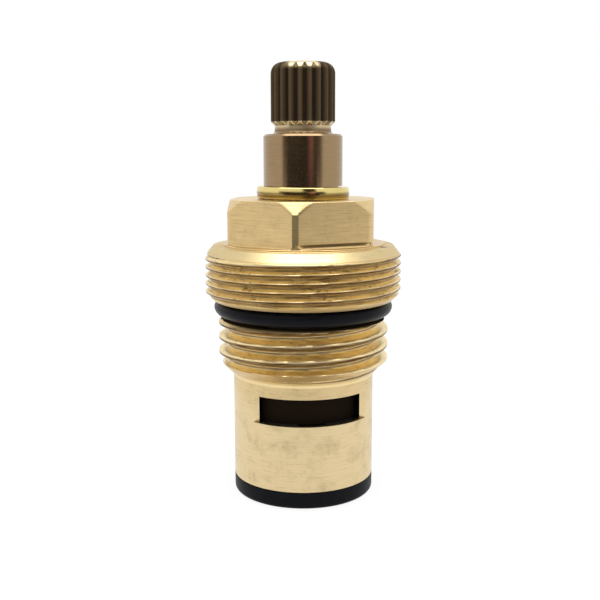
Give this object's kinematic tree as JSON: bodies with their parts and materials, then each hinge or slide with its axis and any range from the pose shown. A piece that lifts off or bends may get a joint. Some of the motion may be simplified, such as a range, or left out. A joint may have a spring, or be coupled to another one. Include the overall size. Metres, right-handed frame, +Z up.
{
  "type": "ceramic disc tap cartridge",
  "caption": "Brass quarter-turn tap cartridge with a splined spindle, spanner hex, fine shroud thread, pipe thread, O-ring and a windowed disc housing on a rubber seat seal.",
  "frame": {"origin": "centre of the seat seal's lower face, where the cartridge meets the tap's seat", "axes": "+Z up the spindle towards the handle; the outlet windows face -Y and +Y"},
  "size_m": [0.024, 0.024, 0.0526],
  "materials": {
    "body_brass": "turned and milled, satin with fine tool lines",
    "spindle_brass": "turned and rolled, darkened",
    "clip_brass": "bright drawn strip",
    "o_ring_rubber": "moulded, greased",
    "washer_acetal": "moulded",
    "disc_alumina": "sintered and lapped",
    "seal_rubber": "moulded",
    "support_brass": "drawn tube, cut"
  },
  "bodies": {
    "headwork": {"headwork_body": "body_brass", "body_o_ring": "o_ring_rubber", "thrust_washer": "washer_acetal", "fixed_disc": "disc_alumina", "seat_seal": "seal_rubber", "seal_support_ring": "support_brass"},
    "spindle_group": {"spindle": "spindle_brass", "retaining_clip": "clip_brass", "upper_spindle_o_ring": "o_ring_rubber", "lower_spindle_o_ring": "o_ring_rubber", "moving_disc": "disc_alumina"}
  },
  "joints": [
    {"name": "spindle_turn", "type": "hinge", "parent": "headwork", "child": "spindle_group", "pos_m": [0, 0, 0.028], "axis": [0, 0, 1], "range_deg": [0, 90]}
  ]
}
